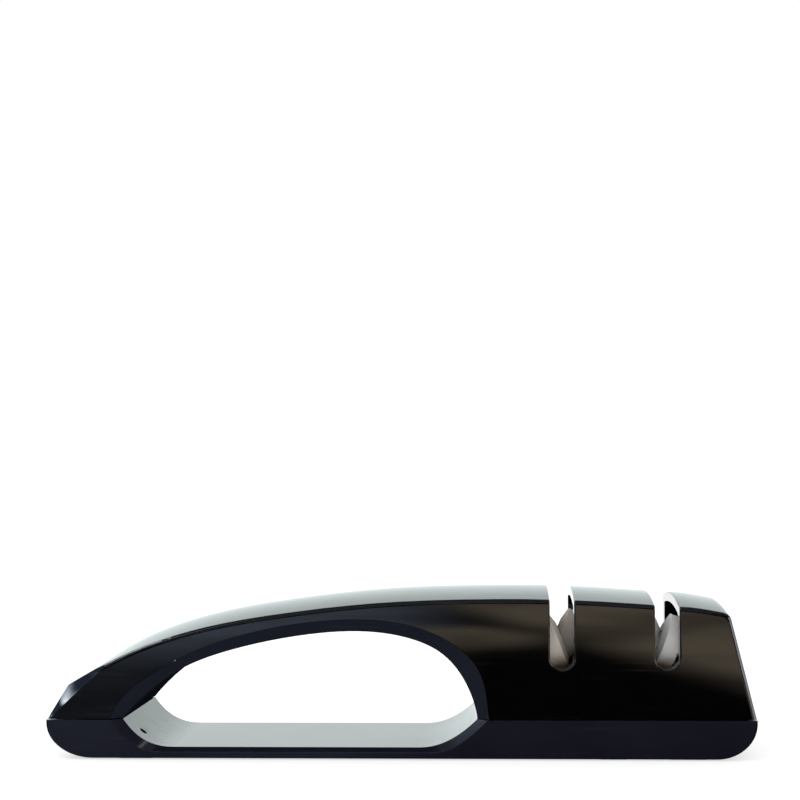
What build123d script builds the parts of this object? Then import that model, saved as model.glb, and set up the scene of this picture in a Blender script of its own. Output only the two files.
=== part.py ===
from build123d import *
import os
from math import cos, radians, sin

# Pull through knife sharpener with a long loop handle and two knife slots.
# Millimetres. X runs along the handle towards the slots, Y across it and Z up.
# The origin is on the table, under the middle of the sharpener.

# Overall sizes
length = 214.0
width = 46.0
edge_height = 47.95
crown_rise = 2.4
foot_proud = 0.4
parting_height = 12.0
parting_gap = 0.3
overrun = 5.0
touch = 0.05

# Upper housing: its tail, its roof and its walls
tail_tip_inset = 0.3
tail_tip_wall_share = 1.4
tail_lean_share = 0.6122
tail_corner_height = 22.1
tail_corner_wall_share = 1.2
corner_slope_share = 1.107
nose_inset = 0.1
nose_lean = 7.2
nose_drop = 6.35
shoulder_run = 3.2
shoulder_slope = 0.183
roof_wall = 3.0
side_wall = 2.4
edge_round = 1.4
facet_depth = 3.6
facet_foot = 1.1
facet_reach = 21.0
facet_above_corner = 8.1
facet_bow = 0.25
facet_deep_bow = 2.6

# Roof line between the tail corner and the shoulder: shares of half the length and of the
# edge height, and the share of the crown that each point is given.
roof_shares = [
    (-0.793, 0.640, 0.85),
    (-0.579, 0.809, 1.0),
    (-0.310, 0.918, 1.0),
    (-0.041, 0.980, 1.0),
    (0.228, 1.0, 1.0),
    (0.553, 0.986, 1.0),
    (0.789, 0.951, 1.0),
]
corner_crown_share = 0.35
shoulder_height_share = 0.917

# Hand opening, and the bevel round it on each side face
loop_to_tail = 23.1
loop_to_slot = 25.4
handle_depth = 9.5
loop_floor = 3.5
bevel_band_left = 3.4
bevel_band_right = 3.2
bevel_band_top = 3.75
bevel_band_floor = 1.2
bevel_depth = 2.2
lip_round = 0.4
arch_shares = [
    (0.086, 0.348),
    (0.170, 0.576),
    (0.303, 0.781),
    (0.503, 0.952),
    (0.670, 1.0),
    (0.804, 0.926),
    (0.904, 0.736),
    (0.970, 0.390),
]
bevel_shares = [
    (0.038, 0.235),
    (0.103, 0.430),
    (0.238, 0.702),
    (0.369, 0.862),
    (0.504, 0.960),
    (0.658, 1.0),
    (0.762, 0.967),
    (0.850, 0.872),
    (0.928, 0.700),
    (0.975, 0.494),
    (0.995, 0.245),
]
ramp_right_run = 17.5
ramp_right_mid_share = (0.497, 0.25)
ramp_right_slope = 1.0
ramp_left_run = 15.3
ramp_left_mid_share = (0.47, 0.21)
ramp_left_slope = 1.5

# Handle liner, with the row of small teeth at the foot of its tail end
liner_skin = 1.9
liner_rim = 3.5
liner_play = 0.1
tooth_count = 8
tooth_to_side = 4.8
tooth_width = 3.4
tooth_height = 2.6
tooth_depth = 0.9

# Base tray
base_end_lip = 0.9
tail_round_run = 14.4
nose_round_run = 12.1
quarter_share = 0.5523
base_floor = 2.4
base_edge_round = 0.5
tray_nose_wall = 3.6
ramp_wall = 2.7
tongue_height = 1.8
tongue_wall = 1.2
tongue_play = 0.15
drain_diameter = 2.6
drain_to_loop_end = 5.3
drain_to_side = 9.0
drain_tilt = 42.0

# Knife slots
slot_to_nose = 26.4
slot_pitch = 31.2
slot_width = 7.2
slot_depth = 21.0
collar_depth = 5.0
collar_rim = 2.2
slot_edge_round = 0.5

# Sharpening wheels: each leans over by the grinding angle and crosses its partner. The hand
# is 1 where the front wheel's top leans to the tail and -1 where it leans to the nose, and
# the close is how far each wheel of a pair stands in towards the slot's middle.
coarse_hand = 1
fine_hand = -1
coarse_close = 0.0
fine_close = 0.8
grind_angle = 20.0
vee_above_slot_bottom = 9.15
vee_to_hub = 1.67
wheel_to_collar = 0.35
wheel_thickness = 6.8
wheel_land = 4.6
wheel_flat_diameter = 10.8
wheel_split = 0.5
wheel_bore = 6.4
axle_diameter = 3.0
axle_play = 0.05
axle_seat = 4.8
axle_head_diameter = 5.4
axle_head_height = 1.0
axle_head_sunk = 0.5
end_play = 0.1
bush_proud = 0.2
washer_diameter = 6.4
washer_thickness = 0.5
press_gap = 0.02

# Wheel cradles
cradle_seat = 5.0
cradle_plate = 2.4
cradle_half_length = 12.2
cradle_to_side = 5.5
post_width = 10.0
post_thickness = 5.4
post_above = 4.8
post_below = 5.2
cradle_boss_diameter = 6.8
cradle_boss_height = 9.0
cradle_boss_x = 8.0
cradle_boss_to_end = 8.5

# Screws, all driven from below
screw_diameter = 3.0
screw_head_diameter = 5.6
screw_head_height = 1.8
screw_recess_diameter = 6.4
screw_recess_depth = 2.4
screw_play = 0.2
thread_play = 0.05
screw_slot_width = 0.8
screw_slot_length = 3.4
screw_slot_depth = 0.9
screw_post_diameter = 8.4
housing_boss_diameter = 7.0
housing_screw_bite = 9.0
cradle_screw_bite = 7.0
near_screw_to_slot = 17.2
far_screw_to_slot = 16.8
head_screw_to_side = 8.4
tail_screw_to_tail = 11.4
tail_screw_to_side = 10.4

# Rubber feet
foot_thickness = 1.6
foot_width = 6.4
foot_edge = 2.2
foot_round = 1.6
foot_play = 0.1
inner_foot_to_slot = 16.1
inner_foot_length = 9.9
outer_foot_to_nose = 20.2
outer_foot_length = 12.6
tail_foot_to_tail = 27.0
tail_foot_length = 12.0

quarter_turn = 90.0
full_turn = 360.0

# Places that follow from the sizes above
half_length = length / 2
half_width = width / 2
inside_half_width = half_width - side_wall
housing_bottom = parting_height + parting_gap
parting_middle = parting_height + parting_gap / 2
base_end_height = parting_height - base_end_lip
tray_top_of_floor = foot_proud + base_floor
nose_top = edge_height - nose_drop
tail_corner_inset = tail_tip_inset + tail_lean_share * (tail_corner_height - housing_bottom)
facet_rise = tail_corner_height + facet_above_corner
slot_fine_x = half_length - slot_to_nose
slot_coarse_x = slot_fine_x - slot_pitch
slot_bottom = edge_height - slot_depth
loop_left = -half_length + loop_to_tail
loop_right = slot_coarse_x - loop_to_slot
loop_top = edge_height - handle_depth
bevel_left = loop_left - bevel_band_left
bevel_right = loop_right + bevel_band_right
bevel_top = loop_top + bevel_band_top
bevel_floor = loop_floor - bevel_band_floor
tooth_pitch = 2 * (half_width - tooth_to_side) / (tooth_count - 1)
drain_x = loop_left + drain_to_loop_end
drain_y = -half_width + drain_to_side
vee_height = slot_bottom + vee_above_slot_bottom
wheel_diameter = half_width - collar_depth - wheel_to_collar - wheel_split / 2
wheel_radius = wheel_diameter / 2
cradle_half_width = half_width - cradle_to_side
cradle_boss_y = cradle_half_width - cradle_boss_to_end
stages = {
    "coarse": (slot_coarse_x, coarse_hand, coarse_close),
    "fine": (slot_fine_x, fine_hand, fine_close),
}


def block(x_from, x_to, y_from, y_to, z_from, z_to):
    """A plain box between three pairs of limits."""
    size = (x_to - x_from, y_to - y_from, z_to - z_from)
    middle = ((x_from + x_to) / 2, (y_from + y_to) / 2, (z_from + z_to) / 2)
    return Pos(*middle) * Box(*size)


def drum(x, y, z_from, z_to, diameter):
    """An upright cylinder."""
    return Pos(x, y, (z_from + z_to) / 2) * Cylinder(diameter / 2, z_to - z_from)


def across(edges, y_from, y_to):
    """A prism across the sharpener with the side outline made by the edges at y_from."""
    return Solid.extrude(Face(Wire(edges)), Vector(0, y_to - y_from, 0))


def polygon_edges(points, y):
    """The closed run of straight edges through side view points, at the depth y."""
    closed = points + points[:1]
    return [Line((a[0], y, a[1]), (b[0], y, b[1])) for a, b in zip(closed, closed[1:])]


# Upper housing


def crown_at(y):
    """How far the roof stands above its side edge at the depth y."""
    return crown_rise * (1 - (y / half_width) ** 2)


def nose_x(z, inset):
    """Where the leaning nose wall is at the height z, drawn in by inset."""
    lean = nose_lean * (z - housing_bottom) / (nose_top - housing_bottom)
    return half_length - nose_inset - lean - inset


def corner_slope():
    """How steeply the roof leaves the tail corner."""
    share_x, share_z = roof_shares[0][:2]
    run = (1 + share_x) * half_length - tail_corner_inset
    return corner_slope_share * (share_z * edge_height - tail_corner_height) / run


def upper_wire(y, wall=0.0, roof=0.0, below=0.0):
    """Side outline of the upper housing at the depth y, drawn in by a wall and a roof."""
    rise = crown_at(y) - roof
    bottom = housing_bottom - below
    tip = (-half_length + tail_tip_inset + tail_tip_wall_share * wall, y, bottom)
    corner = (
        -half_length + tail_corner_inset + tail_corner_wall_share * wall,
        y,
        tail_corner_height + corner_crown_share * crown_at(y) - roof,
    )
    shoulder = (
        nose_x(nose_top, wall) - shoulder_run,
        y,
        shoulder_height_share * edge_height + rise,
    )
    wall_top = nose_top + rise
    nose = (nose_x(wall_top, wall), y, wall_top)
    foot = (nose_x(bottom, wall), y, bottom)
    roof_points = [
        (x * half_length, y, z * edge_height + share * crown_at(y) - roof)
        for x, z, share in roof_shares
    ]
    along = (1, 0, -shoulder_slope)
    down = (foot[0] - nose[0], 0, foot[2] - nose[2])
    roof_line = Spline(
        corner, *roof_points, shoulder, tangents=[(1, 0, corner_slope()), along]
    )
    round_line = Spline(shoulder, nose, tangents=[along, down])
    return Wire([Line(tip, corner), roof_line, round_line, Line(nose, foot), Line(foot, tip)])


def crowned(half, **inset):
    """The crowned block of the upper housing between -half and half."""
    return Solid.make_loft([upper_wire(y, **inset) for y in (-half, 0, half)])


def arch_edge(left, right, top, shares, y):
    """The curve over the hand opening, from its left foot to its right foot."""
    points = [
        (left + x * (right - left), y, parting_middle + z * (top - parting_middle))
        for x, z in shares
    ]
    return Spline((left, y, parting_middle), *points, (right, y, parting_middle))


def ramp_edges(left, right, floor, y):
    """The floor of the hand opening with its two ramps, from the right foot to the left."""
    rise = parting_middle - floor
    right_end = right - ramp_right_run
    left_end = left + ramp_left_run
    right_mid = (
        right - ramp_right_mid_share[0] * ramp_right_run,
        y,
        floor + ramp_right_mid_share[1] * rise,
    )
    left_mid = (
        left + ramp_left_mid_share[0] * ramp_left_run,
        y,
        floor + ramp_left_mid_share[1] * rise,
    )
    down = Spline(
        (right, y, parting_middle),
        right_mid,
        (right_end, y, floor),
        tangents=[(-1, 0, -ramp_right_slope), (-1, 0, 0)],
    )
    flat = Line((right_end, y, floor), (left_end, y, floor))
    up = Spline(
        (left_end, y, floor),
        left_mid,
        (left, y, parting_middle),
        tangents=[(-1, 0, 0), (-1, 0, ramp_left_slope)],
    )
    return [down, flat, up]


def opening_wire(y):
    """The whole hand opening between the bevels."""
    over = arch_edge(loop_left, loop_right, loop_top, arch_shares, y)
    return Wire([over, *ramp_edges(loop_left, loop_right, loop_floor, y)])


def bevel_wire(y):
    """The outer edge of the bevel, on a side face."""
    over = arch_edge(bevel_left, bevel_right, bevel_top, bevel_shares, y)
    return Wire([over, *ramp_edges(bevel_left, bevel_right, bevel_floor, y)])


def bevels():
    """What the bevel takes away round the hand opening, on both sides."""
    near = Solid.make_loft(
        [bevel_wire(-half_width), opening_wire(-half_width + bevel_depth)], True
    )
    return [near, near.mirror(Plane.XZ)]


def tail_facet():
    """What the curved facet takes away at one corner of the tail, on the near side."""
    outside = -half_length - overrun
    above = facet_rise + overrun

    def edges(y, bow, shift):
        foot = (-half_length + facet_foot - shift, y, housing_bottom)
        end = (-half_length + facet_reach, y, facet_rise + shift)
        middle = ((foot[0] + end[0]) / 2 - bow, y, (foot[2] + end[2]) / 2 + bow)
        return Wire(
            [
                ThreePointArc(foot, middle, end),
                Line(end, (end[0], y, above)),
                Line((end[0], y, above), (outside, y, above)),
                Line((outside, y, above), (outside, y, foot[2])),
                Line((outside, y, foot[2]), foot),
            ]
        )

    tip = tail_corner_inset / 2
    return Solid.make_loft(
        [
            edges(-half_width, facet_bow, 0),
            edges(-half_width + facet_depth, facet_deep_bow, tip),
        ],
        True,
    )


def slot_cutter(x):
    """The round bottomed slot that the knife is drawn through."""
    middle = slot_bottom + slot_width / 2
    top = edge_height + crown_rise + overrun
    reach = half_width + overrun
    straight = block(x - slot_width / 2, x + slot_width / 2, -reach, reach, middle, top)
    turned = Pos(x, 0, middle) * Rot(quarter_turn, 0, 0) * Cylinder(slot_width / 2, 2 * reach)
    return straight + turned


def slot_collars(x):
    """The thick rims of the slot inside the front and the back wall."""
    half = slot_width / 2 + collar_rim
    middle = slot_bottom + slot_width / 2
    inside = half_width - collar_depth
    outside = half_width - side_wall / 2
    rims = []
    for y_from, y_to in ((-outside, -inside), (inside, outside)):
        rim = block(x - half, x + half, y_from, y_to, middle, edge_height)
        turned = Rot(quarter_turn, 0, 0) * Cylinder(half, y_to - y_from)
        rims.append(rim + Pos(x, (y_from + y_to) / 2, middle) * turned)
    return rims


def slot_rim(shell, x):
    """The outer edges of the slot at x: up both side faces and across the roof."""
    rim = []
    for edge in shell.edges():
        box = edge.bounding_box()
        middle = box.center()
        far = max(abs(box.min.Y), abs(box.max.Y))
        on_side = box.size.Y < touch and far > half_width - touch
        beside = abs(middle.X - x) < slot_width and middle.Z > slot_bottom
        on_wall = box.size.X < touch and abs(abs(middle.X - x) - slot_width / 2) < touch
        on_roof = box.min.Z > nose_top and far > half_width - collar_depth + touch
        if (on_side and beside) or (on_wall and on_roof):
            rim.append(edge)
    return rim


def housing_screw_places():
    """Where the six screws hold the base to the upper housing."""
    rows = (
        (slot_coarse_x - near_screw_to_slot, head_screw_to_side),
        (slot_fine_x + far_screw_to_slot, head_screw_to_side),
        (-half_length + tail_screw_to_tail, tail_screw_to_side),
    )
    return [(x, side * (half_width - to_side)) for x, to_side in rows for side in (-1, 1)]


def upper_housing():
    """The crowned cover: one shell from the tail over the handle to the slotted head."""
    body = crowned(half_width)
    rounded = [
        edge
        for edge in body.edges()
        if abs(abs(edge.center().Y) - half_width) < edge_round
        and edge.center().Z > housing_bottom + edge_round
    ]
    facet = tail_facet()
    outer = body.fillet(edge_round, rounded) - facet - facet.mirror(Plane.XZ)
    shell = outer - crowned(inside_half_width, wall=side_wall, roof=roof_wall, below=overrun)
    for x in (slot_coarse_x, slot_fine_x):
        for collar in slot_collars(x):
            shell = shell + (collar & outer)
    for x, y in housing_screw_places():
        boss = drum(x, y, parting_height, edge_height, housing_boss_diameter)
        foot = drum(x, y, parting_height, housing_bottom, housing_boss_diameter)
        shell = shell + (boss & outer) + foot
        pilot = drum(
            x,
            y,
            parting_height - overrun,
            parting_height + housing_screw_bite + screw_play,
            screw_diameter + 2 * thread_play,
        )
        shell = shell - pilot
    for x in (slot_coarse_x, slot_fine_x):
        shell = shell - slot_cutter(x)
    for x in (slot_coarse_x, slot_fine_x):
        shell = shell.fillet(slot_edge_round, slot_rim(shell, x))
    left, right, top = (
        bevel_left - liner_play,
        bevel_right + liner_play,
        bevel_top + liner_play,
    )
    y = -half_width - overrun
    over = arch_edge(left, right, top, bevel_shares, y)
    base_line = parting_height - overrun
    under = [
        Line((right, y, parting_middle), (right, y, base_line)),
        Line((right, y, base_line), (left, y, base_line)),
        Line((left, y, base_line), (left, y, parting_middle)),
    ]
    return shell - across([over, *under], y, half_width + overrun)


# Handle liner


def liner_hollow():
    """What is taken from the top of the liner between its two rims."""
    y = -half_width + liner_rim
    left, right = loop_left - liner_skin, loop_right + liner_skin
    under = arch_edge(left, right, loop_top + liner_skin, arch_shares, y)
    wide = overrun + liner_rim
    corners = [
        (right, y, parting_middle),
        (right + wide, y, parting_middle),
        (right + wide, y, bevel_top + overrun),
        (left - wide, y, bevel_top + overrun),
        (left - wide, y, parting_middle),
        (left, y, parting_middle),
    ]
    outside = [Line(a, b) for a, b in zip(corners, corners[1:])]
    return across([under, *outside], y, -y)


def tooth_gaps():
    """The row of small wedge shaped gaps at the foot of the liner's tail end."""
    gaps = []
    start = -(tooth_count - 1) / 2 * tooth_pitch
    for number in range(tooth_count):
        y = start + number * tooth_pitch
        x = loop_left - tooth_depth
        base_line = [
            (x, y - tooth_width / 2, housing_bottom - tooth_depth),
            (x, y + tooth_width / 2, housing_bottom - tooth_depth),
            (x + tooth_height, y, housing_bottom + tooth_height),
        ]
        edges = [Line(a, b) for a, b in zip(base_line, base_line[1:] + base_line[:1])]
        gaps.append(Solid.extrude(Face(Wire(edges)), Vector(tooth_height, 0, 0)))
    return gaps


def handle_liner():
    """The underside of the handle: a thin arch with a thick bevelled rim on each side."""
    y = -half_width
    over = arch_edge(bevel_left, bevel_right, bevel_top, bevel_shares, y)
    under = arch_edge(loop_left, loop_right, loop_top, arch_shares, y)
    feet = [Line(under @ 1, over @ 1), Line(over @ 0, under @ 0)]
    liner = across([over, feet[0], under, feet[1]], y, half_width)
    below = block(-half_length, half_length, -width, width, 0, housing_bottom)
    liner = liner - below - liner_hollow()
    for cutter in bevels():
        liner = liner - cutter
    for gap in tooth_gaps():
        liner = liner - gap
    return liner


# Base tray


def base_block():
    """The whole base before it is hollowed: flat, with a rounded end at the tail and the nose."""
    y = -half_width
    bottom = foot_proud
    rise = base_end_height - bottom
    tail_end = -half_length + tail_round_run
    nose_end = half_length - nose_round_run
    tail_round = Bezier(
        (-half_length, y, base_end_height),
        (-half_length, y, base_end_height - quarter_share * rise),
        (tail_end - quarter_share * tail_round_run, y, bottom),
        (tail_end, y, bottom),
    )
    nose_round = Bezier(
        (nose_end, y, bottom),
        (nose_end + quarter_share * nose_round_run, y, bottom),
        (half_length, y, base_end_height - quarter_share * rise),
        (half_length, y, base_end_height),
    )
    top = [
        (half_length, y, base_end_height),
        (half_length, y, parting_height),
        (-half_length, y, parting_height),
        (-half_length, y, base_end_height),
    ]
    lines = [Line(a, b) for a, b in zip(top, top[1:])]
    edges = [tail_round, Line((tail_end, y, bottom), (nose_end, y, bottom)), nose_round, *lines]
    block_solid = across(edges, y, half_width)
    side_edges = [
        edge
        for edge in block_solid.edges()
        if abs(abs(edge.center().Y) - half_width) < touch
        and edge.center().Z < parting_height - touch
    ]
    return block_solid.fillet(base_edge_round, side_edges)


def head_pocket(y_half, bottom, top):
    """The hollow of the base under the slotted head."""
    left = bevel_right
    right = half_length - tray_nose_wall - tongue_play - tongue_wall
    run = ramp_right_run - ramp_wall
    points = [
        (left, top),
        (left, parting_height - ramp_wall / 2),
        (left - run * (1 - ramp_right_mid_share[1]), bottom),
        (right - nose_round_run / 2, bottom),
        (right, (bottom + parting_height) / 2),
        (right, top),
    ]
    return across(polygon_edges(points, -y_half), -y_half, y_half)


def tail_pocket(y_half, bottom, top):
    """The hollow of the base under the tail."""
    left = -half_length + tray_nose_wall
    right = bevel_left
    points = [
        (left, top),
        (left, (bottom + parting_height) / 2),
        (left + tail_round_run / 2, bottom),
        (right + ramp_left_run - ramp_wall * 2, bottom),
        (right, parting_height - ramp_wall / 2),
        (right, top),
    ]
    return across(polygon_edges(points, -y_half), -y_half, y_half)


def tongue(x_from, x_to):
    """The low rib on three sides of the head pocket that keeps the upper housing in line."""
    outside = inside_half_width - tongue_play
    inside = outside - tongue_wall
    top = parting_height + tongue_height
    low = parting_height - tongue_wall
    rib = block(x_from, x_to, -outside, outside, low, top)
    return rib - block(x_from - overrun, x_to - tongue_wall, -inside, inside, 0, top + overrun)


def cradle_screw_places(x, hand):
    """Where two screws hold the cradle of the slot at x, clear of its posts."""
    return [(x - side * hand * cradle_boss_x, side * cradle_boss_y) for side in (1, -1)]


def screw_way(x, y, top):
    """The hole in the base that a screw goes up through, with the recess of its head."""
    recess_top = foot_proud + screw_recess_depth
    shank = drum(x, y, recess_top, top + overrun, screw_diameter + 2 * screw_play)
    return shank + drum(x, y, -overrun, recess_top, screw_recess_diameter)


def foot_places():
    """The six rubber feet: name, middle, length and side of each."""
    places = []
    for name, x, long in (
        ("head_inner", slot_fine_x - inner_foot_to_slot, inner_foot_length),
        ("head_outer", half_length - outer_foot_to_nose, outer_foot_length),
        ("tail", -half_length + tail_foot_to_tail, tail_foot_length),
    ):
        for side_name, side in (("front", -1), ("rear", 1)):
            y = side * (half_width - foot_edge - foot_width / 2)
            places.append((f"{name}_{side_name}_foot", x, y, long))
    return places


def foot_pad(x, y, long, play, top):
    """A rubber foot, or with play its recess, with rounded corners."""
    pad = Box(long + 2 * play, foot_width + 2 * play, top)
    upright = pad.edges().filter_by(Axis.Z)
    return Pos(x, y, top / 2) * pad.fillet(foot_round, upright)


def lip_edges(base):
    """The lower outer edges of the bevel along the floor and the ramps, on both side faces."""
    edges = []
    for edge in base.edges():
        box = edge.bounding_box()
        on_side = box.size.Y < touch and abs(abs(box.center().Y) - half_width) < touch
        in_bevel = box.min.X > bevel_left and box.max.X < bevel_right
        if on_side and in_bevel and box.min.Z > bevel_floor - touch:
            edges.append(edge)
    return edges


def base_tray():
    """The lower base: two pockets, the floor of the hand opening and the screw posts."""
    base = base_block()
    y = -half_width
    over = arch_edge(loop_left, loop_right, loop_top, arch_shares, y)
    base = base - across([over, *ramp_edges(loop_left, loop_right, loop_floor, y)], y, half_width)
    for cutter in bevels():
        base = base - cutter
    base = base.fillet(lip_round, lip_edges(base))
    pocket_top = parting_height + overrun
    pocket_half = inside_half_width - tongue_play - tongue_wall
    base = base - tail_pocket(pocket_half, tray_top_of_floor, pocket_top)
    rib_start = loop_right + liner_skin + liner_rim + tongue_play
    rib_end = half_length - tray_nose_wall - tongue_play
    base = base + tongue(rib_start, rib_end)
    base = base - head_pocket(pocket_half, tray_top_of_floor, pocket_top)
    ways = []
    for x, y in housing_screw_places():
        base = base + drum(x, y, foot_proud + base_floor / 2, parting_height, screw_post_diameter)
        ways.append(screw_way(x, y, parting_height))
    for slot_x, hand, _ in stages.values():
        for x, y in cradle_screw_places(slot_x, hand):
            base = base + drum(x, y, foot_proud + base_floor / 2, cradle_seat, screw_post_diameter)
            ways.append(screw_way(x, y, cradle_seat))
    for way in ways:
        base = base - way
    for _, x, y, long in foot_places():
        base = base - foot_pad(x, y, long, foot_play, foot_thickness)
    hole = Cylinder(drain_diameter / 2, 2 * overrun)
    middle = (loop_floor + parting_height) / 2
    return base - Pos(drain_x, drain_y, middle) * Rot(0, drain_tilt, 0) * hole


# Sharpening wheels, their axles and the cradles that carry them


class WheelPlace:
    """Where one wheel stands: side is -1 for the front wheel and 1 for the rear wheel."""

    def __init__(self, slot_x, hand, close, side):
        lean = radians(grind_angle)
        half = wheel_thickness / 2
        down_run = vee_to_hub * sin(lean) - half * cos(lean)
        self.out = side * hand
        self.x = slot_x - self.out * (down_run + close)
        self.y = side * (wheel_split / 2 + wheel_radius)
        self.z = vee_height - vee_to_hub * cos(lean) - half * sin(lean)
        self.plane = Plane(
            origin=(self.x, self.y, self.z),
            x_dir=(0, 1, 0),
            z_dir=(-self.out * cos(lean), 0, sin(lean)),
        )

    def turned(self, outline):
        """A solid of revolution about the axle: outline holds radius and height pairs."""
        edges = [
            Line((r, 0, h), (r_next, 0, h_next))
            for (r, h), (r_next, h_next) in zip(outline, outline[1:] + outline[:1])
        ]
        solid = Solid.revolve(Face(Wire(edges)), full_turn, Axis.Z)
        return self.plane.location * solid


def wheel(place):
    """The ceramic ring: flat at the hub and drawn in to a narrow land at the rim."""
    half = wheel_thickness / 2
    land = wheel_land / 2
    flat = wheel_flat_diameter / 2
    bore = wheel_bore / 2
    return place.turned(
        [
            (bore, -half),
            (flat, -half),
            (wheel_radius, -land),
            (wheel_radius, land),
            (flat, half),
            (bore, half),
        ]
    )


def axle_head_bottom():
    """The height above the middle of the wheel where the head of the axle pin begins."""
    return wheel_thickness / 2 - axle_head_sunk - axle_head_height


def washer_top():
    """The height, below the middle of the wheel, of the washer's upper face."""
    return -wheel_thickness / 2 - bush_proud - end_play


def bush(place):
    """The plastic bearing bush that is pressed into the ceramic ring."""
    outer = wheel_bore / 2
    inner = axle_diameter / 2 + axle_play
    low = -wheel_thickness / 2 - bush_proud
    high = axle_head_bottom() - end_play
    return place.turned([(inner, low), (outer, low), (outer, high), (inner, high)])


def axle(place):
    """The steel axle pin, with a flat head sunk in the wheel's inner face."""
    radius = axle_diameter / 2
    head = axle_head_diameter / 2
    low = washer_top() - washer_thickness - axle_seat
    neck = axle_head_bottom()
    top = neck + axle_head_height
    shank = [(0, low), (radius, low), (radius, neck)]
    return place.turned([*shank, (head, neck), (head, top), (0, top)])


def washer(place):
    """The thin washer between the bush and the post."""
    inner = axle_diameter / 2 + axle_play
    outer = washer_diameter / 2
    high = washer_top()
    low = high - washer_thickness
    return place.turned([(inner, low), (outer, low), (outer, high), (inner, high)])


def axle_post(place, slot_x):
    """The leaning post of a cradle that one axle pin is pressed into."""
    lean = radians(grind_angle)
    seat = washer_top() - washer_thickness
    out = place.out
    face = (place.x - out * seat * cos(lean), place.z + seat * sin(lean))
    back = (face[0] + out * post_thickness * cos(lean), face[1] - post_thickness * sin(lean))
    along = (out * sin(lean), cos(lean))
    wide = cradle_half_length * out
    top_face = (face[0] + post_above * along[0], face[1] + post_above * along[1])
    low_face = (face[0] - post_below * along[0], face[1] - post_below * along[1])
    top_back = (back[0] + post_above * along[0], back[1] + post_above * along[1])
    points = [
        (slot_x + wide, cradle_seat + cradle_plate / 2),
        (low_face[0], cradle_seat + cradle_plate / 2),
        low_face,
        top_face,
        top_back,
        (slot_x + wide, back[1]),
    ]
    y = place.y - post_width / 2
    post = across(polygon_edges(points, y), y, y + post_width)
    hole = axle_diameter / 2 + press_gap
    deep = seat - axle_seat - screw_play
    return post, place.turned([(0, deep), (hole, deep), (hole, overrun), (0, overrun)])


def cradle(slot_x, hand, places):
    """The moulded carrier of the two wheels of one slot."""
    body = block(
        slot_x - cradle_half_length,
        slot_x + cradle_half_length,
        -cradle_half_width,
        cradle_half_width,
        cradle_seat,
        cradle_seat + cradle_plate,
    )
    holes = []
    for place in places:
        post, hole = axle_post(place, slot_x)
        body = body + post
        holes.append(hole)
    for x, y in cradle_screw_places(slot_x, hand):
        boss_top = cradle_seat + cradle_boss_height
        body = body + drum(x, y, cradle_seat, boss_top, cradle_boss_diameter)
        bite = cradle_seat + cradle_screw_bite + screw_play
        holes.append(drum(x, y, 0, bite, screw_diameter + 2 * thread_play))
    for hole in holes:
        body = body - hole
    return body


# Screws


def screw(x, y, top):
    """A pan head screw driven from below, with a cross recess in its head."""
    seat = foot_proud + screw_recess_depth
    low = seat - screw_head_height
    body = drum(x, y, low, seat, screw_head_diameter) + drum(x, y, seat, top, screw_diameter)
    arm = screw_slot_length / 2
    half = screw_slot_width / 2
    deep = low + screw_slot_depth
    body = body - block(x - arm, x + arm, y - half, y + half, 0, deep)
    return body - block(x - half, x + half, y - arm, y + arm, 0, deep)


def screws(places, top):
    """A group of like screws."""
    return Compound([screw(x, y, top) for x, y in places])


def write(name, shape):
    """Write one sub-part to its own file."""
    export_step(shape, f"parts/{name}.step")


def main():
    os.makedirs("parts", exist_ok=True)
    write("upper_housing", upper_housing())
    write("handle_liner", handle_liner())
    write("base_tray", base_tray())
    for name, x, y, long in foot_places():
        write(name, foot_pad(x, y, long, 0, foot_thickness))
    seats = []
    for stage, (slot_x, hand, close) in stages.items():
        places = [WheelPlace(slot_x, hand, close, side) for side in (-1, 1)]
        write(f"{stage}_cradle", cradle(slot_x, hand, places))
        for where, place in zip(("front", "rear"), places):
            write(f"{stage}_{where}_wheel", wheel(place))
            write(f"{stage}_{where}_bush", bush(place))
            write(f"{stage}_{where}_axle", axle(place))
            write(f"{stage}_{where}_washer", washer(place))
        seats += cradle_screw_places(slot_x, hand)
    write("cradle_screws", screws(seats, cradle_seat + cradle_screw_bite))
    write("housing_screws", screws(housing_screw_places(), parting_height + housing_screw_bite))


main()
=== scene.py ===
import math

import bpy
from bpy.props import FloatProperty, FloatVectorProperty, PointerProperty
from bpy.types import Operator, Panel, PropertyGroup
from mathutils import Euler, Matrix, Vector

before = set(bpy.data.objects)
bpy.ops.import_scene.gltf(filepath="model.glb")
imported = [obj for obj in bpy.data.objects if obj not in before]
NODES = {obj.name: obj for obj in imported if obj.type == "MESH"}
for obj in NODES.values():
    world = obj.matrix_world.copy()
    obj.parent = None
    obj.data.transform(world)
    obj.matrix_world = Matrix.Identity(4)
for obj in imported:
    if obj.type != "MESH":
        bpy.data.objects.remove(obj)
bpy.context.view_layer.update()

bl_info = {
    "name": "Pull Through Knife Sharpener",
    "version": (1, 0, 0),
    "blender": (4, 5, 0),
    "location": "View3D > Sidebar > Sharpener",
    "description": "Finishes a loop handled knife sharpener and sets up its photograph",
    "category": "Object",
}

STAGES = ("coarse", "fine")
SIDES = ("front", "rear")
UPRIGHT = math.radians(90)

# Places of the reflected lights in metres. Pairs say where a light begins and where it is full.
TAIL_GLOW = (-0.87, -0.185, 0.44)
TAIL_GLOW_REACH = (0.12, 0.0)
COOL_ACROSS = (0.03, -0.05)
COOL_AWAY = (-0.19, -0.36)
COOL_NEAREST = 0.22
WARM_SLANT = (0.93, 0.37)
WARM_EDGE = (0.16, 0.21)
WARM_SPOT = (0.012, -0.33, 0.0002)
WARM_SPOT_REACH = (0.065, 0.025)
CLOUD_SCALE = 9.0
CLOUD_LIGHT = (0.55, 1.2)
BACKDROP_ACROSS = (-0.2, -1.2)
BACKDROP_GAIN = 1.7
FLOOR_WHITE = 1.15


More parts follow.
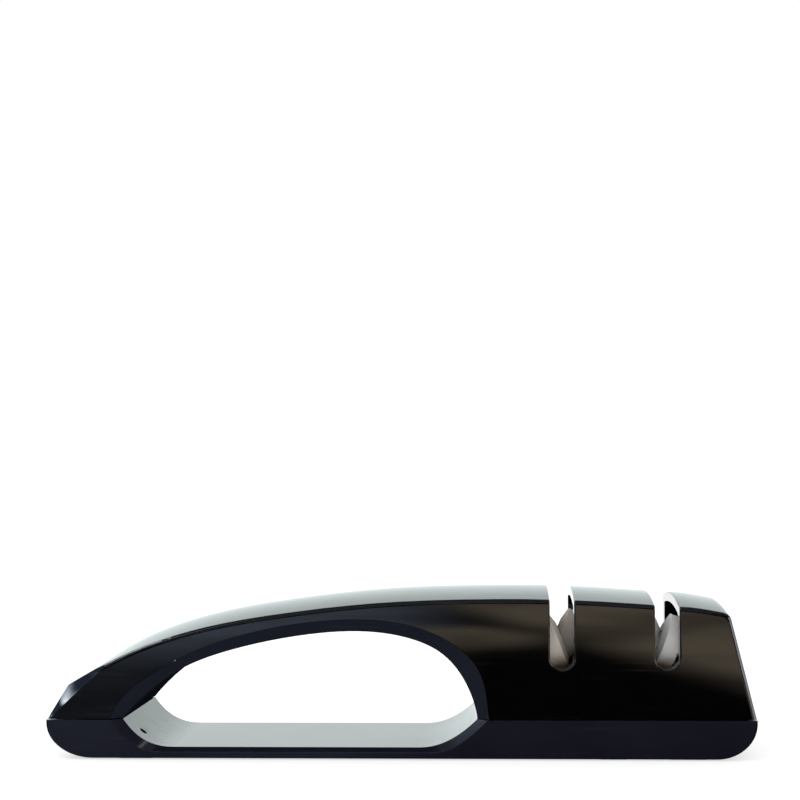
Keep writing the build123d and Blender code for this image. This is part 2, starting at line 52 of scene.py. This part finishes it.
# Settings a user would change


def length(name, description, default, **limits):
    return FloatProperty(
        name=name, description=description, default=default, unit="LENGTH", precision=5, **limits
    )


def share(name, description, default):
    return FloatProperty(
        name=name, description=description, default=default, min=0, max=1, subtype="FACTOR"
    )


def colour(name, description, default):
    return FloatVectorProperty(
        name=name, description=description, default=default, size=3, min=0, max=1, subtype="COLOR"
    )


class PlasticSettings(PropertyGroup):
    """Colours and finishes of the moulded plastic."""

    cover: colour("Cover", "Polished plastic of the upper housing", (0.0012, 0.0011, 0.0014))
    liner: colour("Liner", "Polished plastic of the handle liner", (0.012, 0.0142, 0.0215))
    tray: colour("Tray", "Satin plastic of the base tray", (0.0085, 0.009, 0.0165))
    carrier: colour("Carrier", "Plastic of the two wheel cradles", (0.62, 0.6, 0.56))
    bearing: colour("Bearing", "Plastic of the bearing bushes", (0.72, 0.7, 0.64))
    polish: share("Polish roughness", "Roughness of the polished plastic", 0.06)
    liner_rough: share("Liner roughness", "Roughness of the handle liner", 0.4)
    satin: share("Satin roughness", "Roughness of the satin plastic", 0.16)
    dust: share("Dust", "How much of the plastic carries specks of dust", 0.35)
    dust_size: length("Dust size", "Spacing of the dust specks", 0.0021, min=0.0002)
    ripple: length("Ripple", "Height of the slow moulding ripple", 0.00002)


class CeramicSettings(PropertyGroup):
    """Colours and grain of the sharpening wheels."""

    coarse: colour("Coarse", "Coarse ceramic", (0.84, 0.76, 0.67))
    fine: colour("Fine", "Fine ceramic", (0.88, 0.87, 0.84))
    # Painted shade: a warm brown colour that darkens the wheels towards their foot.
    foot_shade: colour("Foot shade", "Painted warm shade at the foot of the wheels", (0.33, 0.2, 0.08))
    coarse_grain: length("Coarse grain", "Grain size of the coarse wheels", 0.0003, min=0.00005)
    fine_grain: length("Fine grain", "Grain size of the fine wheels", 0.00014, min=0.00005)
    foot_shade_top: length("Foot shade top", "Height where the painted shade begins", 0.031)
    foot_shade_full: length("Foot shade full", "Height where the painted shade is full", 0.0262)


class MetalSettings(PropertyGroup):
    """Colours of the pins, washers, screws and feet."""

    pin: colour("Pin", "Ground steel of the axle pins and washers", (0.6, 0.6, 0.6))
    screw: colour("Screw", "Plated steel of the screws", (0.5, 0.51, 0.53))
    rubber: colour("Rubber", "Rubber of the feet", (0.018, 0.018, 0.02))


class StageSettings(PropertyGroup):
    """Camera, lights and floor of the photograph."""

    camera: FloatVectorProperty(
        name="Camera", description="Place of the camera", default=(0.0316, -0.461, 0.0888),
        size=3, unit="LENGTH", subtype="TRANSLATION",
    )
    lens: FloatProperty(name="Lens", description="Focal length in mm", default=65.92, min=10)
    turn: FloatProperty(
        name="Turn", description="Turn of the camera towards the tail", default=math.radians(3.04),
        unit="ROTATION", subtype="ANGLE",
    )
    roll: FloatProperty(
        name="Roll", description="Roll of the camera", default=math.radians(0.432),
        unit="ROTATION", subtype="ANGLE",
    )
    shift_x: FloatProperty(name="Shift across", description="Lens shift across", default=-0.029)
    shift_y: FloatProperty(name="Shift up", description="Lens shift up", default=0.0799)
    floor: colour("Floor", "Pale floor", (0.8, 0.8, 0.8))
    floor_glow: share("Floor glow", "How much of the floor's white is its own", 0.62)
    sky: share("Sky", "Brightness of the white surroundings", 1.0)
    sky_tint: colour("Sky tint", "Tint of the surroundings in reflections", (0.91, 1.0, 1.0))
    key: FloatProperty(name="Key", description="Power of the key light", default=2.0, unit="POWER")
    cool: colour("Cool", "Bluish light that the tail's side faces reflect", (0.42, 0.49, 0.64))
    warm: colour("Warm", "Brown light that the head's side faces reflect", (0.7, 0.58, 0.42))
    ceiling: colour("Ceiling", "Dark ceiling that the bevels reflect", (0.1, 0.11, 0.13))
    edge: colour("Edge light", "Soft light in front that the long edges reflect", (0.2, 0.22, 0.26))
    softbox: colour("Softbox", "Light beside the tail that its facet reflects", (0.8, 0.9, 1.0))
    softbox_power: FloatProperty(
        name="Softbox power", description="Brightness of the light beside the tail", default=14.0
    )
    nose: colour(
        "Nose light", "Light beyond the nose that its slanted edge reflects", (0.6, 0.58, 0.7)
    )
    nose_power: FloatProperty(
        name="Nose light power", description="Brightness of the light beyond the nose", default=5.0
    )
    wall: colour("Wall", "Dark walls in front and on the right", (0.02, 0.02, 0.025))
    dim: colour("Dim wall", "Bluish wall on the left", (0.14, 0.2, 0.32))


SETTINGS = {
    "plastic": PlasticSettings,
    "ceramic": CeramicSettings,
    "metal": MetalSettings,
    "stage": StageSettings,
}


def settings(context, group):
    return getattr(context.scene, f"sharpener_{group}")


# Node building


class Nodes:
    """A node tree and short ways to add nodes to it."""

    def __init__(self, tree):
        self.tree = tree

    def add(self, kind, **inputs):
        node = self.tree.nodes.new(kind)
        for key, value in inputs.items():
            self.feed(node.inputs[key.replace("_", " ")], value)
        return node

    def feed(self, socket, value):
        if isinstance(value, bpy.types.NodeSocket):
            self.tree.links.new(value, socket)
        else:
            socket.default_value = value

    def mix(self, factor, first, second):
        node = self.tree.nodes.new("ShaderNodeMix")
        node.data_type = "RGBA"
        self.feed(node.inputs["Factor"], factor)
        for key, value in (("A", first), ("B", second)):
            socket = next(s for s in node.inputs if s.name == key and s.type == "RGBA")
            self.feed(socket, value)
        return next(s for s in node.outputs if s.type == "RGBA")

    def sum(self, kind, *values, clamp=False):
        node = self.tree.nodes.new("ShaderNodeMath")
        node.operation = kind
        node.use_clamp = clamp
        for socket, value in zip(node.inputs, values):
            self.feed(socket, value)
        return node.outputs[0]

    def vector(self, kind, first, second):
        node = self.tree.nodes.new("ShaderNodeVectorMath")
        node.operation = kind
        self.feed(node.inputs[0], first)
        self.feed(node.inputs[1], second)
        return node.outputs["Value" if kind == "DISTANCE" else "Vector"]

    def spread(self, value, low, high, to_low=0.0, to_high=1.0):
        node = self.tree.nodes.new("ShaderNodeMapRange")
        node.interpolation_type = "SMOOTHSTEP"
        for key, number in (
            ("Value", value), ("From Min", low), ("From Max", high),
            ("To Min", to_low), ("To Max", to_high),
        ):
            self.feed(node.inputs[key], number)
        return node.outputs[0]


class Shade(Nodes):
    """A new material and its Principled shader."""

    def __init__(self, name):
        self.material = bpy.data.materials.new(name)
        self.material.use_nodes = True
        super().__init__(self.material.node_tree)
        self.shader = self.tree.nodes["Principled BSDF"]
        self.place = self.add("ShaderNodeTexCoord").outputs["Object"]

    def group(self, tree, **inputs):
        node = self.tree.nodes.new("ShaderNodeGroup")
        node.node_tree = tree
        for key, value in inputs.items():
            self.feed(node.inputs[key.replace("_", " ")], value)
        return node.outputs[0]

    def bump(self, height, distance, strength=1.0):
        bump = self.add("ShaderNodeBump", Strength=strength, Distance=distance, Height=height)
        self.feed(self.shader.inputs["Normal"], bump.outputs["Normal"])

    def set(self, **inputs):
        for key, value in inputs.items():
            self.feed(self.shader.inputs[key.replace("_", " ")], value)

    def glow(self, light, power=1.0):
        """Make it a card that only gives light."""
        self.set(
            Base_Color=(0, 0, 0, 1), Specular_IOR_Level=0.0, Emission_Color=light,
            Emission_Strength=power,
        )
        return self.material


def opaque(rgb):
    return (*rgb[:3], 1.0)


def darker(rgb, by):
    return opaque([channel * by for channel in rgb])


def mask_group(name, inputs):
    """A new shader node group that gives one mask, its nodes and its two ends."""
    tree = bpy.data.node_groups.new(name, "ShaderNodeTree")
    for label, kind, default in inputs:
        socket = tree.interface.new_socket(label, in_out="INPUT", socket_type=kind)
        if default is not None:
            socket.default_value = default
    tree.interface.new_socket("Mask", in_out="OUTPUT", socket_type="NodeSocketFloat")
    nodes = Nodes(tree)
    return nodes, nodes.add("NodeGroupInput"), nodes.add("NodeGroupOutput")


def specks_tree():
    """Round specks scattered over a surface: amount is the share of the cells that hold one."""
    name = "Specks"
    found = bpy.data.node_groups.get(name)
    if found:
        return found
    nodes, start, end = mask_group(
        name,
        (
            ("Vector", "NodeSocketVector", None),
            ("Spacing", "NodeSocketFloat", 0.002),
            ("Amount", "NodeSocketFloat", 0.3),
        ),
    )
    smallest, size_range = 0.02, 0.03
    scale = nodes.sum("DIVIDE", 1.0, start.outputs["Spacing"])
    cells = nodes.add("ShaderNodeTexVoronoi", Vector=start.outputs["Vector"], Scale=scale)
    chance = nodes.add("ShaderNodeSeparateColor", Color=cells.outputs["Color"])
    chosen = nodes.sum("LESS_THAN", chance.outputs[0], start.outputs["Amount"])
    size = nodes.sum("MULTIPLY_ADD", chance.outputs[1], size_range, smallest)
    inside = nodes.sum("LESS_THAN", cells.outputs["Distance"], size)
    nodes.feed(end.inputs["Mask"], nodes.sum("MULTIPLY", chosen, inside))
    return nodes.tree


def hairlines_tree():
    """Fine straight scratches along X, broken up by a noise."""
    name = "Hairlines"
    found = bpy.data.node_groups.get(name)
    if found:
        return found
    nodes, start, end = mask_group(
        name,
        (
            ("Vector", "NodeSocketVector", None),
            ("Spacing", "NodeSocketFloat", 0.0008),
            ("Stretch", "NodeSocketFloat", 40.0),
        ),
    )
    faintest, clearest = 0.6, 0.75
    shorter = nodes.sum("DIVIDE", 1.0, start.outputs["Stretch"])
    shape = nodes.add("ShaderNodeCombineXYZ", X=shorter, Y=1.0, Z=1.0)
    stretched = nodes.vector("MULTIPLY", start.outputs["Vector"], shape.outputs[0])
    scale = nodes.sum("DIVIDE", 1.0, start.outputs["Spacing"])
    noise = nodes.add("ShaderNodeTexNoise", Vector=stretched, Scale=scale, Detail=3.0)
    lift = nodes.add(
        "ShaderNodeMapRange", Value=noise.outputs[0], From_Min=faintest, From_Max=clearest
    )
    nodes.feed(end.inputs["Mask"], lift.outputs[0])
    return nodes.tree


# Finishes


def moulded(name, rgb, rough, values, texture, dust, lacquer=0.0, shine=0.5):
    """Moulded plastic: slow ripple, fine surface texture, hairlines and specks of dust."""
    shade = Shade(name)
    broad, fine = (
        shade.add("ShaderNodeTexNoise", Vector=shade.place, Scale=scale, Detail=detail).outputs[0]
        for scale, detail in ((38.0, 2.0), (2600.0, 3.0))
    )
    lines = shade.group(hairlines_tree(), Vector=shade.place, Spacing=0.0011, Stretch=30.0)
    specks = shade.group(
        specks_tree(), Vector=shade.place, Spacing=values.dust_size, Amount=dust * values.dust
    )
    line_colour, line_strength, line_roughness = (0.05, 0.05, 0.05, 1), 0.12, 0.05
    speck_colour = (0.3, 0.3, 0.3, 1)
    tone = shade.mix(broad, darker(rgb, 0.75), darker(rgb, 1.3))
    worn = shade.mix(shade.sum("MULTIPLY", lines, line_strength), tone, line_colour)
    dusty = shade.mix(specks, worn, speck_colour)
    rub = shade.sum("MULTIPLY", lines, line_roughness)
    uneven = shade.spread(broad, 0.3, 0.7, rough * 0.85, rough * 1.15)
    roughness = shade.sum("ADD", shade.sum("ADD", uneven, rub), specks, clamp=True)
    shade.set(
        Base_Color=dusty, Roughness=roughness, IOR=1.5, Specular_IOR_Level=shine,
        Coat_Weight=lacquer, Coat_Roughness=0.03,
    )
    slow = shade.sum("MULTIPLY", broad, values.ripple)
    quick = shade.sum("MULTIPLY", fine, texture)
    shade.bump(shade.sum("ADD", slow, quick), 1.0)
    return shade.material


def ceramic(name, rgb, grain, values):
    """Sintered ceramic: fine grain, faint mottling and a painted warm shade that turns the wheels
    darker and browner towards their foot.
    """
    shade = Shade(name)
    cells = shade.add("ShaderNodeTexVoronoi", Vector=shade.place, Scale=1.0 / grain)
    cloud = shade.add("ShaderNodeTexNoise", Vector=shade.place, Scale=260.0, Detail=4.0)
    split = shade.add("ShaderNodeSeparateXYZ", Vector=shade.place)
    ragged = shade.sum("MULTIPLY", shade.sum("SUBTRACT", cloud.outputs[0], 0.5), 0.004)
    height = shade.sum("ADD", split.outputs["Z"], ragged)
    # Painted warm shade: darker and browner the lower the point, with a ragged edge.
    low = shade.spread(height, values.foot_shade_top, values.foot_shade_full, 0.0, 0.85)
    grains = shade.mix(
        shade.spread(cells.outputs["Distance"], 0.1, 0.7, 0.0, 0.35),
        opaque(rgb),
        darker(rgb, 0.72),
    )
    patches = shade.spread(cloud.outputs[0], 0.35, 0.7, 0.0, 0.25)
    mottled = shade.mix(patches, grains, darker(rgb, 0.8))
    foot_shaded = shade.mix(low, mottled, opaque(values.foot_shade))
    shade.set(
        Base_Color=foot_shaded, Roughness=0.55, Subsurface_Weight=0.25,
        Subsurface_Radius=(1.0, 0.8, 0.6), Subsurface_Scale=0.0012,
    )
    shade.bump(cells.outputs["Distance"], grain * 0.35, 0.6)
    return shade.material


def turned_steel(name, rgb, rough):
    """Ground or plated steel with fine marks."""
    shade = Shade(name)
    marks = shade.add("ShaderNodeTexNoise", Vector=shade.place, Scale=2400.0, Detail=4.0)
    tone = shade.mix(marks.outputs[0], darker(rgb, 0.8), darker(rgb, 1.1))
    roughness = shade.spread(marks.outputs[0], 0.3, 0.7, rough * 0.8, rough * 1.3)
    shade.set(Base_Color=tone, Roughness=roughness, Metallic=1.0)
    shade.bump(marks.outputs[0], 0.00002, 0.5)
    return shade.material


def rubber(name, rgb):
    """Soft matt rubber with a fine moulded texture."""
    shade = Shade(name)
    fine = shade.add("ShaderNodeTexNoise", Vector=shade.place, Scale=3000.0, Detail=3.0)
    tone = shade.mix(fine.outputs[0], darker(rgb, 0.7), darker(rgb, 1.4))
    shade.set(
        Base_Color=tone, Roughness=shade.spread(fine.outputs[0], 0.3, 0.7, 0.7, 0.9)
    )
    shade.bump(fine.outputs[0], 0.00004, 0.6)
    return shade.material


def paint(material, *names):
    """Give CAD nodes a finish."""
    for name in names:
        node = NODES[name]
        for slot in node.material_slots:
            slot.material = material


def per_wheel(stage, piece):
    return [f"{stage}_{side}_{piece}" for side in SIDES]


class SHARPENER_OT_cover(Operator):
    """Polish the black upper housing"""

    bl_idname = "sharpener.cover"
    bl_label = "Finish the upper housing"

    def execute(self, context):
        values = settings(context, "plastic")
        finish = moulded(
            "Polished cover", values.cover, values.polish, values, 0.0000002, 0.12, lacquer=0.7
        )
        paint(finish, "upper_housing")
        return {"FINISHED"}


class SHARPENER_OT_liner(Operator):
    """Polish the liner of the handle"""

    bl_idname = "sharpener.liner"
    bl_label = "Finish the handle liner"

    def execute(self, context):
        values = settings(context, "plastic")
        finish = moulded(
            "Polished liner", values.liner, values.liner_rough, values, 0.0000003, 0.1, shine=0.0
        )
        paint(finish, "handle_liner")
        return {"FINISHED"}


class SHARPENER_OT_tray(Operator):
    """Give the base tray its satin finish"""

    bl_idname = "sharpener.tray"
    bl_label = "Finish the base tray"

    def execute(self, context):
        values = settings(context, "plastic")
        finish = moulded(
            "Satin tray", values.tray, values.satin, values, 0.000001, 0.2, lacquer=0.7
        )
        paint(finish, "base_tray")
        return {"FINISHED"}


class SHARPENER_OT_wheels(Operator):
    """Give the four sharpening wheels their ceramic"""

    bl_idname = "sharpener.wheels"
    bl_label = "Finish the sharpening wheels"

    def execute(self, context):
        values = settings(context, "ceramic")
        for stage in STAGES:
            finish = ceramic(
                f"{stage.title()} ceramic",
                getattr(values, stage),
                getattr(values, f"{stage}_grain"),
                values,
            )
            paint(finish, *per_wheel(stage, "wheel"))
        return {"FINISHED"}


class SHARPENER_OT_carriers(Operator):
    """Finish the cradles and the bearing bushes"""

    bl_idname = "sharpener.carriers"
    bl_label = "Finish the cradles and bushes"

    def execute(self, context):
        values = settings(context, "plastic")
        carrier = moulded("Carrier plastic", values.carrier, 0.45, values, 0.000002, 0.1)
        bearing = moulded("Bearing plastic", values.bearing, 0.4, values, 0.000001, 0.0)
        for stage in STAGES:
            paint(carrier, f"{stage}_cradle")
            paint(bearing, *per_wheel(stage, "bush"))
        return {"FINISHED"}


class SHARPENER_OT_metal(Operator):
    """Finish the axle pins, the washers and the screws"""

    bl_idname = "sharpener.metal"
    bl_label = "Finish the pins, washers and screws"

    def execute(self, context):
        values = settings(context, "metal")
        ground = turned_steel("Ground steel", values.pin, 0.25)
        plated = turned_steel("Plated steel", values.screw, 0.32)
        for stage in STAGES:
            paint(ground, *per_wheel(stage, "axle"), *per_wheel(stage, "washer"))
        paint(plated, "cradle_screws", "housing_screws")
        return {"FINISHED"}


class SHARPENER_OT_feet(Operator):
    """Finish the six rubber feet"""

    bl_idname = "sharpener.feet"
    bl_label = "Finish the feet"

    def execute(self, context):
        finish = rubber("Foot rubber", settings(context, "metal").rubber)
        paint(finish, *(name for name in NODES if name.endswith("_foot")))
        return {"FINISHED"}


# Stage


def stage_sheet(name, middle, size, turn=(0, 0, 0)):
    """A flat sheet of the stage, with its place in its mesh."""
    bpy.ops.object.select_all(action="DESELECT")
    bpy.ops.mesh.primitive_plane_add(size=1, location=middle, rotation=turn)
    sheet = bpy.context.object
    sheet.name = name
    sheet.scale = (size[0], size[1], 1)
    bpy.ops.object.transform_apply(location=True, rotation=True, scale=True)
    return sheet


def floor_finish(values):
    """Pale floor: its own white fills the picture and its lit part keeps the shadow."""
    material = bpy.data.materials.new("Pale floor")
    material.use_nodes = True
    nodes = Nodes(material.node_tree)
    nodes.tree.nodes.clear()
    lit_white = FLOOR_WHITE - values.floor_glow
    lit = nodes.add("ShaderNodeBsdfDiffuse", Color=opaque(values.floor))
    shaded = nodes.add("ShaderNodeBsdfDiffuse", Color=opaque([lit_white] * 3))
    glow = nodes.add("ShaderNodeEmission", Strength=values.floor_glow)
    white = nodes.add("ShaderNodeAddShader")
    nodes.feed(white.inputs[0], shaded.outputs[0])
    nodes.feed(white.inputs[1], glow.outputs[0])
    seen = nodes.add("ShaderNodeLightPath")
    direct = nodes.sum("MAXIMUM", seen.outputs["Is Camera Ray"], seen.outputs["Is Glossy Ray"])
    shown = nodes.sum("MAXIMUM", direct, seen.outputs["Is Transmission Ray"])
    mixed = nodes.add("ShaderNodeMixShader", Fac=shown)
    nodes.feed(mixed.inputs[1], lit.outputs[0])
    nodes.feed(mixed.inputs[2], white.outputs[0])
    nodes.add("ShaderNodeOutputMaterial", Surface=mixed.outputs[0])
    return material


def glowing(name, light, power=1.0):
    """Card of one colour that only gives light."""
    return Shade(name).glow(opaque(light), power)


def room_finish(values):
    """What the front faces reflect: dark, cool light far out on the left, warm on the right."""
    shade = Shade("Reflected room")
    split = shade.add("ShaderNodeSeparateXYZ", Vector=shade.place)
    x, y = split.outputs["X"], split.outputs["Y"]
    left = shade.spread(x, *COOL_ACROSS)
    far = shade.spread(y, *COOL_AWAY, COOL_NEAREST, 1.0)
    along, out = (shade.sum("MULTIPLY", *pair) for pair in zip((x, y), WARM_SLANT))
    right = shade.spread(shade.sum("SUBTRACT", along, out), *WARM_EDGE)
    spot = shade.spread(shade.vector("DISTANCE", shade.place, WARM_SPOT), *WARM_SPOT_REACH)
    warm = shade.sum("MAXIMUM", right, spot)
    cool = shade.mix(shade.sum("MULTIPLY", left, far), (0, 0, 0, 1), opaque(values.cool))
    light = shade.mix(warm, cool, opaque(values.warm))
    cloud = shade.add("ShaderNodeTexNoise", Vector=shade.place, Scale=CLOUD_SCALE, Detail=2.0)
    return shade.glow(light, shade.spread(cloud.outputs[0], 0.35, 0.65, *CLOUD_LIGHT))


def tail_glow_finish(values):
    """Soft round glow on the wall beside the tail."""
    shade = Shade("Tail glow")
    glow = shade.spread(shade.vector("DISTANCE", shade.place, TAIL_GLOW), *TAIL_GLOW_REACH)
    bright = darker(values.softbox, values.softbox_power)
    return shade.glow(shade.mix(glow, opaque(values.dim), bright))


def backdrop_finish(values):
    """White surroundings behind the tail, brighter the farther out they are."""
    shade = Shade("Bright backdrop")
    split = shade.add("ShaderNodeSeparateXYZ", Vector=shade.place)
    brightest = BACKDROP_GAIN * values.sky
    power = shade.spread(split.outputs["X"], *BACKDROP_ACROSS, values.sky, brightest)
    return shade.glow(opaque(values.sky_tint), power)


def white_world(values):
    """White surroundings, faintly tinted where polished plastic reflects them."""
    world = bpy.data.worlds.new("White surroundings")
    world.use_nodes = True
    nodes = Nodes(world.node_tree)
    seen = nodes.add("ShaderNodeLightPath")
    tint = nodes.mix(seen.outputs["Is Glossy Ray"], (1, 1, 1, 1), opaque(values.sky_tint))
    back = nodes.tree.nodes["Background"]
    nodes.feed(back.inputs["Color"], tint)
    nodes.feed(back.inputs["Strength"], values.sky)
    return world


def only_reflected(piece):
    """Hide a card from everything but reflections."""
    piece.visible_camera = False
    piece.visible_diffuse = False
    piece.visible_transmission = False
    piece.visible_volume_scatter = False
    piece.visible_shadow = False


def area_light(name, place, aim, size, power):
    """A soft square lamp turned to a point."""
    data = bpy.data.lights.new(name, "AREA")
    data.size = size
    data.energy = power
    lamp = bpy.data.objects.new(name, data)
    bpy.context.scene.collection.objects.link(lamp)
    lamp.location = place
    lamp.rotation_euler = (Vector(aim) - Vector(place)).to_track_quat("-Z", "Y").to_euler()


def photograph_camera(values):
    """The camera that sees what the photograph shows."""
    data = bpy.data.cameras.new("Photograph")
    data.sensor_fit = "HORIZONTAL"
    data.sensor_width = 36
    data.lens = values.lens
    data.shift_x = values.shift_x
    data.shift_y = values.shift_y
    data.clip_start = 0.01
    data.clip_end = 50
    camera = bpy.data.objects.new("Photograph", data)
    bpy.context.scene.collection.objects.link(camera)
    camera.location = values.camera
    camera.rotation_euler = Euler((UPRIGHT, values.roll, values.turn), "XYZ")
    return camera


class SHARPENER_OT_stage(Operator):
    """Set up the floor, the lights and the camera of the photograph"""

    bl_idname = "sharpener.stage"
    bl_label = "Set up the photograph"

    def execute(self, context):
        values = settings(context, "stage")
        floor = stage_sheet("Floor", (0, 0, 0), (8, 8))
        floor.data.materials.append(floor_finish(values))

        dark = glowing("Dark wall", values.wall)
        from_front, from_side = (UPRIGHT, 0, 0), (0, UPRIGHT, 0)
        for name, middle, size, turn, finish in (
            ("Reflected room", (0, -0.735, 0.0002), (3, 1.53), (0, 0, 0), room_finish(values)),
            (
                "Reflected ceiling", (0.55, 0.1, 0.7), (2.1, 0.7), (0, 0, 0),
                glowing("Dark ceiling", values.ceiling),
            ),
            ("Reflected front wall", (0.35, -1.0, 1.2), (2.5, 2.4), from_front, dark),
            ("Reflected side wall", (1.6, -0.6, 1.0), (2.0, 0.8), from_side, dark),
            (
                "Front light", (-0.05, -0.85, 0.8), (0.9, 0.8), from_front,
                glowing("Edge light", values.edge),
            ),
            (
                "Reflected left wall", (-1.3, -0.35, 0.9), (1.8, 1.3), from_side,
                glowing("Dim wall", values.dim),
            ),
            ("Tail softbox", TAIL_GLOW, (0.3, 0.3), from_side, tail_glow_finish(values)),
            (
                "Nose light", (1.5, -0.575, 0.45), (0.9, 0.85), from_side,
                glowing("Nose light", values.nose, values.nose_power),
            ),
            ("Bright backdrop", (-1.2, 1.0, 0.3), (2.0, 0.6), from_front, backdrop_finish(values)),
        ):
            card = stage_sheet(name, middle, size, turn)
            card.data.materials.append(finish)
            only_reflected(card)

        scene = context.scene
        scene.world = white_world(values)
        area_light("Key", (-0.55, 0.1, 0.75), (0, 0, 0.02), 0.5, values.key)
        scene.camera = photograph_camera(values)
        scene.view_settings.view_transform = "Standard"
        return {"FINISHED"}


OPERATORS = (
    SHARPENER_OT_cover,
    SHARPENER_OT_liner,
    SHARPENER_OT_tray,
    SHARPENER_OT_wheels,
    SHARPENER_OT_carriers,
    SHARPENER_OT_metal,
    SHARPENER_OT_feet,
    SHARPENER_OT_stage,
)


class VIEW3D_PT_sharpener(Panel):
    """Steps and settings of the knife sharpener"""

    bl_label = "Knife Sharpener"
    bl_space_type = "VIEW_3D"
    bl_region_type = "UI"
    bl_category = "Sharpener"

    def draw(self, context):
        steps = self.layout.column(align=True)
        for operator in OPERATORS:
            steps.operator(operator.bl_idname)
        for group, kind in SETTINGS.items():
            box = self.layout.box()
            box.label(text=group.title())
            values = settings(context, group)
            for name in kind.__annotations__:
                box.prop(values, name)


CLASSES = (*SETTINGS.values(), *OPERATORS, VIEW3D_PT_sharpener)


def register():
    for kind in CLASSES:
        bpy.utils.register_class(kind)
    for group, kind in SETTINGS.items():
        setattr(bpy.types.Scene, f"sharpener_{group}", PointerProperty(type=kind))


def unregister():
    for group in SETTINGS:
        delattr(bpy.types.Scene, f"sharpener_{group}")
    for kind in reversed(CLASSES):
        bpy.utils.unregister_class(kind)


def main():
    register()
    for operator in OPERATORS:
        getattr(bpy.ops.sharpener, operator.bl_idname.split(".")[1])()


if __name__ == "__main__":
    main()
